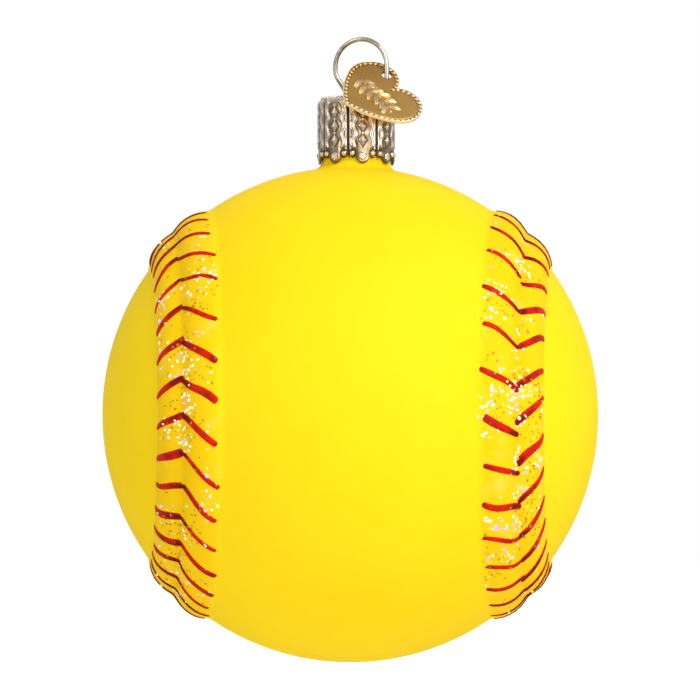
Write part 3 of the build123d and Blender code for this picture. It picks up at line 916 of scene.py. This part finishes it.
# Wire hanger
# One length of springy plated wire, bent into a loop above the cap and two legs that spread
# inside the neck and hold the cap down.
WIRE_RADIUS = 0.325e-3
LOOP_WIDTH = 7.72e-3
LOOP_HEIGHT = 8.4e-3
LOOP_OFFSET = 0.72e-3
LOOP_TOP_FLAT = 0.04e-3
LOOP_LEFT_DROP = 1.0e-3
LOOP_RIGHT_DROP = 2.7e-3
LOOP_LEFT_RADIUS = 2.6e-3
LOOP_RIGHT_RADIUS = 1.2e-3
LEG_SPACING = 2.4e-3
LEG_BEND_HEIGHT = 0.45e-3
LEG_BEND_RADIUS = 0.8e-3
LEG_LENGTH = 9.5e-3
LEG_STRAIGHT = 4.2e-3
LEG_SPREAD_RADIUS = 1.5e-3
LEG_BORE_CLEARANCE = 0.3e-3
BEND_STEPS = 24
WIRE_BRIGHT = (0.86, 0.76, 0.62, 1)
WIRE_DULL = (0.36, 0.28, 0.18, 1)


def make_wire_line():
    """The wire's corners as a line, each with the radius of its bend."""
    left = LOOP_OFFSET - LOOP_WIDTH / 2
    right = LOOP_OFFSET + LOOP_WIDTH / 2
    leg = LEG_SPACING / 2
    spread = BORE_RADIUS - WIRE_RADIUS - LEG_BORE_CLEARANCE
    middle = LOOP_HEIGHT - LOOP_WIDTH / 2
    top_bend = LOOP_WIDTH / 2 - LOOP_TOP_FLAT / 2
    corners = (
        (-spread, -LEG_LENGTH, 0),
        (-leg, -LEG_STRAIGHT, LEG_SPREAD_RADIUS),
        (-leg, LEG_BEND_HEIGHT, LEG_BEND_RADIUS),
        (left, middle - LOOP_LEFT_DROP, LOOP_LEFT_RADIUS),
        (left, LOOP_HEIGHT, top_bend),
        (right, LOOP_HEIGHT, top_bend),
        (right, middle - LOOP_RIGHT_DROP, LOOP_RIGHT_RADIUS),
        (leg, LEG_BEND_HEIGHT, LEG_BEND_RADIUS),
        (leg, -LEG_STRAIGHT, LEG_SPREAD_RADIUS),
        (spread, -LEG_LENGTH, 0),
    )
    root = Vector((neck_axis.x, neck_axis.y, cap_high.z))
    side = Vector((cos(LOOP_TURN), -sin(LOOP_TURN), 0))
    points = [root + side * across + Vector((0, 0, rise)) for across, rise, bend in corners]
    line = bpy.data.meshes.new("wire_line")
    line.from_pydata(points, [(number, number + 1) for number in range(len(points) - 1)], [])
    bends = line.attributes.new("bend", "FLOAT", "POINT")
    bends.data.foreach_set("value", [bend for across, rise, bend in corners])
    return line


def make_wire_metal():
    """Drawn wire with a thin plating, slightly dull in streaks."""
    material, start, shader = start_material("wire_metal", Metallic=1.0)
    place = start.node("ShaderNodeTexCoord", out="Object")
    streak = place.noise(260, 3)
    start.plug(streak.between(0.4, 0.75).mix(WIRE_BRIGHT, WIRE_DULL), shader.inputs["Base Color"])
    start.plug(0.12 + streak * 0.16, shader.inputs["Roughness"])
    return material


def make_wire_tree():
    """A round wire along a line whose corners are bent to their own radius."""
    entry, size = start_tree("bent_wire", ("Radius", "Steps"))
    line = entry.node("GeometryNodeMeshToCurve", {}, {"Mesh": entry})
    sockets = {"Curve": line, "Count": size["Steps"], "Radius": kept_value(entry, "bend")}
    bent = entry.node("GeometryNodeFilletCurve", {"mode": "POLY"}, sockets)
    ring = entry.node("GeometryNodeCurvePrimitiveCircle", {}, {"Resolution": 16, "Radius": size["Radius"]})
    sockets = {"Curve": bent, "Profile Curve": ring, "Fill Caps": True}
    tube = entry.node("GeometryNodeCurveToMesh", {}, sockets)
    return finish_tree(tube, make_wire_metal())


wire_sizes = {"Radius": WIRE_RADIUS, "Steps": BEND_STEPS}
wire_mesh = grow("wire", make_wire_line(), make_wire_tree(), wire_sizes)
place_piece("wire_hanger", wire_mesh, "hanger", "hanger_wire")

# Heart tag
# A heart stamped from brass sheet, hung on the loop by a hole and leaning on the cap's shoulder.
# A rolled edge and a rope of slanted beads run round it, with a leaf sprig on the satin field.
TAG_LOBE_RADIUS = 3.66e-3
TAG_LOBE_SPACING = 6.1e-3
TAG_TIP_DEPTH = 6.79e-3
TAG_SIDE_RADIUS = 13.1e-3
TAG_SPIN = radians(67.2)
TAG_SHEET = 0.35e-3
TAG_LIP_HEIGHT = 0.15e-3
TAG_HOLE_RADIUS = 0.75e-3
TAG_HOLE_EDGE = 1.45e-3
PUNCH_LENGTH = 10.0e-3
TAG_REST_GAP = 0.3e-3
TAG_STEPS = 120  # round each half of the heart
TAG_ROWS = 56  # from the rope to the middle of the field
EDGE_ROLL = 0.12e-3
EDGE_STEP = 0.03e-3  # from the roll into the channel of the rope
EDGE_DROP = 0.04e-3
CHANNEL_DEPTH = 0.08e-3
FIELD_INSET = 0.6e-3
ROPE_INSET = 0.36e-3
ROPE_BEADS = 48
ROPE_LIFT = 0.06e-3
BEAD_SIZE = (0.40e-3, 0.26e-3, 0.2e-3)
BEAD_SLANT = 0.65
SPRIG_DROP = 1.6e-3  # from between the lobes to the middle of the sprig
STEM_SWING = 0.35e-3
STEM_WAVE = 800.0  # radians per metre
STEM_WIDTH = 0.16e-3
STEM_HALF = 4.0e-3
LEAF_PAIRS = 6
LEAF_PITCH = 1.2e-3
LEAF_START = 3.6e-3
LEAF_LEAN = 0.8
LEAF_REACH = 1.15e-3  # from the stem to the middle of a leaf
LEAF_VEIN_WIDTH = 0.09e-3
LEAF_SIZE = (1.05e-3, 0.42e-3)
LEAF_HEIGHT = 0.24e-3
TAG_HIGHLIGHT = (0.88, 0.72, 0.46, 1)
TAG_GOLD = (0.65, 0.383, 0.116, 1)
TAG_SHADE = (0.34, 0.19, 0.04, 1)


def arc_points(middle, radius, first, last, steps):
    """Points on a circle, between the directions of two points."""
    start_angle = atan2(*(first - middle)[::-1])
    sweep = (atan2(*(last - middle)[::-1]) - start_angle + pi) % (2 * pi) - pi
    angles = start_angle + sweep * np.linspace(0, 1, steps, endpoint=False)
    return middle + radius * np.stack((np.cos(angles), np.sin(angles)), axis=-1)


def heart_outline(inset):
    """The heart drawn in by an even margin, from the cleft round the right lobe to the tip and back."""
    lobe = np.array((TAG_LOBE_SPACING / 2, 0))
    to_tip = np.array((0, -TAG_TIP_DEPTH)) - lobe
    length = np.linalg.norm(to_tip)
    lobe_reach = TAG_SIDE_RADIUS - TAG_LOBE_RADIUS
    along = (lobe_reach**2 - TAG_SIDE_RADIUS**2 + length**2) / (2 * length)
    ahead = to_tip / length
    side_middle = lobe + ahead * along + np.array((ahead[1], -ahead[0])) * sqrt(lobe_reach**2 - along**2)
    outward = (lobe - side_middle) / lobe_reach
    lobe_radius = TAG_LOBE_RADIUS - inset
    side_radius = TAG_SIDE_RADIUS - inset
    cleft = np.array((0, sqrt(lobe_radius**2 - lobe[0] ** 2)))
    meeting = lobe + outward * lobe_radius
    end = np.array((0, side_middle[1] - sqrt(side_radius**2 - side_middle[0] ** 2)))
    crown = lobe + np.array((0, lobe_radius))
    parts = (
        arc_points(lobe, lobe_radius, cleft, crown, TAG_STEPS // 4),
        arc_points(lobe, lobe_radius, crown, meeting, TAG_STEPS // 4),
        arc_points(side_middle, side_radius, meeting, end, TAG_STEPS // 2),
    )
    half = np.concatenate(parts)
    other = np.concatenate((end[None], half[:0:-1])) * np.array((-1, 1))
    return np.concatenate((half, other))


def leaf_relief(spots):
    """Height of a sprig of leaf pairs on a curved stem, as a share of the full height."""
    x = spots[:, 0]
    y = spots[:, 1] + SPRIG_DROP
    stem = y - STEM_SWING * np.sin(STEM_WAVE * x)
    relief = 0.6 * bump_at(stem, STEM_WIDTH) * (np.abs(x) < STEM_HALF)
    for place in np.arange(LEAF_PAIRS) * LEAF_PITCH - LEAF_START:
        root_y = STEM_SWING * sin(STEM_WAVE * place)
        for side in (-1, 1):
            lean = STEM_SWING * STEM_WAVE * cos(STEM_WAVE * place) + side * LEAF_LEAN
            along = (x - place) * cos(lean) + (y - root_y) * sin(lean) - LEAF_REACH
            aside = (y - root_y) * cos(lean) - (x - place) * sin(lean)
            shape = (along / LEAF_SIZE[0]) ** 2 + (aside / LEAF_SIZE[1]) ** 2
            leaf = np.sqrt(np.maximum(1 - shape, 0)) - 0.35 * (shape < 1) * bump_at(aside, LEAF_VEIN_WIDTH)
            relief = np.maximum(relief, leaf)
    return relief


def make_tag_mesh():
    """Both faces and the edge of the heart, with the line of its rope as loose edges."""
    surface = Surface()
    half_sheet = TAG_SHEET / 2
    lip = half_sheet + TAG_LIP_HEIGHT
    channel = half_sheet - CHANNEL_DEPTH
    field = heart_outline(FIELD_INSET)
    middle = np.array((0, -SPRIG_DROP))
    rows = []
    values = []

    def add_row(outline, heights, value):
        rows.append(level_row(outline, heights))
        values.append(np.broadcast_to(value, len(outline)))

    # The values set the tone: the rolled edge 1.2 as a painted highlight, the rope's channel 0 as painted
    # shade.
    for share in np.linspace(0, 1, 8)[:-1]:
        add_row(middle + share * (heart_outline(EDGE_ROLL) - middle), -half_sheet, 0.6)
    for turn in np.linspace(-pi / 2, pi / 2, 9):
        height = lip + (sin(turn) - 1) * (lip + half_sheet) / 2
        add_row(heart_outline(EDGE_ROLL * (1 - cos(turn))), height, 1.2)
    add_row(heart_outline(EDGE_ROLL + EDGE_STEP), lip - EDGE_DROP, 0.5)
    add_row(heart_outline(EDGE_ROLL + 2 * EDGE_STEP), channel, 0)
    add_row(field, channel, 0)
    for share in np.linspace(0.975, 0, TAG_ROWS):
        spots = middle + share * (field - middle)
        relief = leaf_relief(spots)
        add_row(spots, half_sheet + LEAF_HEIGHT * relief, 0.42 + 0.5 * relief)
    surface.add_grid(rows, np.array(values), closed=True)
    mesh = surface.make_mesh("heart_tag", "relief")
    rope = heart_outline(ROPE_INSET)
    work = bmesh.new()
    work.from_mesh(mesh)
    rope_layer = work.verts.layers.float.new("rope")
    corners = [work.verts.new((x, y, channel + ROPE_LIFT)) for x, y in rope]
    for number, corner in enumerate(corners):
        corner[rope_layer] = 1
        work.edges.new((corner, corners[number - 1]))
    work.to_mesh(mesh)
    work.free()
    return mesh


def make_tag_metal():
    """Satin brass with a fine grain, painted shade in the stamped hollows and towards the top, painted
    highlights on the raised sprig and beads, and a rolled edge painted pale and less metallic as a
    highlight.
    """
    material, start, shader = start_material("tag_metal")
    place = start.node("ShaderNodeTexCoord", out="Object")
    grain = place.noise(6000, 3)
    cloud = place.noise(240, 3)
    relief = start.point_value("relief")
    low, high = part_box("heart_tag")
    # Painted shade: the tag is painted darker towards its top.
    upper = place.parts().out("Z").between(low.z, high.z)
    raised = relief + cloud * 0.4 + grain * 0.2 - 0.29 - upper * 0.17
    tones = ((0, TAG_SHADE), (0.5, TAG_GOLD), (0.9, TAG_HIGHLIGHT))
    tone = start.node("ShaderNodeValToRGB", {"stops": tones}, {"Fac": raised})
    start.plug(tone, shader.inputs["Base Color"])
    start.plug(0.48 - relief * 0.2 + grain * 0.1, shader.inputs["Roughness"])
    # Painted highlight: the rolled edge is less metallic, so it shows pale.
    start.plug(1 - relief.between(0.95, 1.2) * 0.55, shader.inputs["Metallic"])
    bump = start.node("ShaderNodeBump", {}, {"Strength": 0.25, "Distance": 1e-5, "Height": grain})
    start.plug(bump, shader.inputs["Normal"])
    return material


def make_tag_tree():
    """The sheet with its hole cut, and slanted beads along the line of the rope."""
    names = ("Count", "Long", "Wide", "High", "Slant", "Hole", "Hole X", "Hole Y")
    entry, size = start_tree("tag_rope", names)
    on_rope = kept_value(entry, "rope")
    parts = entry.node("GeometryNodeSeparateGeometry", {}, {"Geometry": entry, "Selection": on_rope})
    sockets = {"Vertices": 40, "Radius": size["Hole"], "Depth": PUNCH_LENGTH}
    punch = entry.node("GeometryNodeMeshCylinder", {}, sockets)
    hole_at = entry.vector(size["Hole X"], size["Hole Y"])
    punch = entry.node("GeometryNodeTransform", {}, {"Geometry": punch, "Translation": hole_at})
    sockets = {"Mesh 1": parts.out("Inverted"), "Mesh 2": punch}
    sheet = entry.node("GeometryNodeMeshBoolean", {"operation": "DIFFERENCE", "solver": "EXACT"}, sockets)
    line = entry.node("GeometryNodeMeshToCurve", {}, {"Mesh": parts})
    line = entry.node("GeometryNodeResampleCurve", {}, {"Curve": line, "Count": size["Count"]})
    heading = entry.node("GeometryNodeInputTangent").parts()
    angle = entry.math("ARCTAN2", heading.out("Y"), heading) + size["Slant"]
    turn = entry.vector(0, 0, angle)
    turn = entry.node("FunctionNodeEulerToRotation", {}, {0: turn})
    bead = entry.node("GeometryNodeMeshUVSphere", {}, {"Segments": 12, "Rings": 8, "Radius": 1})
    shape = entry.vector(size["Long"], size["Wide"], size["High"])
    beads = keep_value(copies_on(line, bead, Rotation=turn, Scale=shape), "relief", 0.75)
    return finish_tree(joined(sheet, beads), make_tag_metal())


tag_sizes = {
    "Count": ROPE_BEADS,
    "Long": BEAD_SIZE[0],
    "Wide": BEAD_SIZE[1],
    "High": BEAD_SIZE[2],
    "Slant": BEAD_SLANT,
    "Hole": TAG_HOLE_RADIUS,
    "Hole X": -TAG_LOBE_SPACING / 2,
    "Hole Y": TAG_LOBE_RADIUS - TAG_HOLE_EDGE,
}
tag_mesh = grow("heart_tag", make_tag_mesh(), make_tag_tree(), tag_sizes)

# The tag's slope follows from its hole and the cap's shoulder that it leans on.
tag_hole = Vector(joints["tag_lift"]["pos_m"])
tag_level = -Vector(joints["tag_lift"]["axis"])
tag_front = Vector((tag_level.y, -tag_level.x, 0))
from_top = tag_hole - Vector((neck_axis.x, neck_axis.y, cap_high.z))
hole_back = from_top.dot(tag_front) - (CAP_RADIUS - CAP_SHOULDER)
hole_rise = from_top.z + CAP_SHOULDER
shoulder_reach = CAP_SHOULDER + TAG_REST_GAP + TAG_SHEET / 2
tag_slope = atan2(hole_rise, hole_back) - acos(shoulder_reach / sqrt(hole_back**2 + hole_rise**2))
tag_normal = tag_front * cos(tag_slope) + Vector((0, 0, sin(tag_slope)))
tag_rise = tag_normal.cross(tag_level)
tag_right = tag_level * cos(TAG_SPIN) - tag_rise * sin(TAG_SPIN)
tag_up = tag_normal.cross(tag_right)
lean = Matrix((tag_right, tag_up, tag_normal)).transposed().to_4x4()
hole_from_lobes = Vector((tag_sizes["Hole X"], tag_sizes["Hole Y"], 0))
tag_mesh.transform(Matrix.Translation(tag_hole) @ lean @ Matrix.Translation(-hole_from_lobes))
place_piece("heart_tag_plate", tag_mesh, "tag", "heart_tag")

# Stage
# A white floor below the hanging ornament and soft light from large lamps.
FLOOR_DROP = 0.05
FLOOR_RADIUS = 1.5
FLOOR_WHITE = (0.92, 0.92, 0.92, 1)
FLOOR_MIRRORED = (0.3, 0.3, 0.3, 1)
WORLD_FRONT = 0.45
WORLD_BACK = 0.85
WORLD_BACK_MIRRORED = 0.52  # what bright metal sees behind it
CARD_MIRRORED = 0.65  # a pale card at the front right, seen by bright metal
KEY_PLACE = Vector((0.46, -0.66, 0.74))
KEY_SIZE = (0.5, 0.5)
KEY_POWER = 6.85
STRIP_PLACE = Vector((0.42, -0.82, 0.15))
STRIP_SIZE = (0.65, 0.5)
STRIP_POWER = 1.75
FILL_PLACE = Vector((-0.7, -0.6, 0.3))
FILL_SIZE = (0.12, 0.7)
FILL_POWER = 1.0

floor_mesh = bpy.data.meshes.new("floor")
work = bmesh.new()
bmesh.ops.create_circle(work, cap_ends=True, segments=96, radius=FLOOR_RADIUS)
bmesh.ops.translate(work, verts=work.verts, vec=(0, 0, ball_low.z - FLOOR_DROP))
work.to_mesh(floor_mesh)
work.free()
floor = bpy.data.objects.new("floor", floor_mesh)
scene.collection.objects.link(floor)
floor_paint, start, shader = start_material("floor_paint", Roughness=0.9)
shader.inputs["Emission Color"].default_value = (1, 1, 1, 1)
seen = start.node("ShaderNodeLightPath", out="Is Camera Ray")
start.plug(seen, shader.inputs["Emission Strength"])
start.plug(seen.out("Is Glossy Ray").mix(FLOOR_WHITE, FLOOR_MIRRORED), shader.inputs["Base Color"])
floor_mesh.materials.append(floor_paint)

world = bpy.data.worlds.new("studio")
scene.world = world
world.use_nodes = True
sky = world.node_tree.nodes["Background"]
start = Term(world.node_tree)
heading = start.node("ShaderNodeTexCoord", out="Generated")
aside = heading.parts()
depth = aside.out("Y")
seen = start.node("ShaderNodeLightPath", out="Is Camera Ray")
mirrored = seen.out("Is Glossy Ray")
back = WORLD_BACK - mirrored * (WORLD_BACK - WORLD_BACK_MIRRORED)
card = mirrored * aside.between(0.4, 0.6) * (1 - depth.between(-0.3, 0)) * CARD_MIRRORED
glow = WORLD_FRONT + depth.between(-0.3, 0.5) * (back - WORLD_FRONT) + card
start.plug(start.math("MAXIMUM", glow, seen), sky.inputs["Strength"])
sky.inputs["Color"].default_value = (1, 1, 1, 1)


def add_lamp(name, offset, size, power):
    """A soft rectangular lamp that faces the ball."""
    lamp = bpy.data.lights.new(name, "AREA")
    lamp.shape = "RECTANGLE"
    lamp.size, lamp.size_y = size
    lamp.energy = power
    holder = bpy.data.objects.new(name, lamp)
    scene.collection.objects.link(holder)
    holder.location = ball_centre + offset
    holder.rotation_euler = (-offset).to_track_quat("-Z", "Y").to_euler()


add_lamp("key_lamp", KEY_PLACE, KEY_SIZE, KEY_POWER)
add_lamp("strip_lamp", STRIP_PLACE, STRIP_SIZE, STRIP_POWER)
add_lamp("fill_lamp", FILL_PLACE, FILL_SIZE, FILL_POWER)
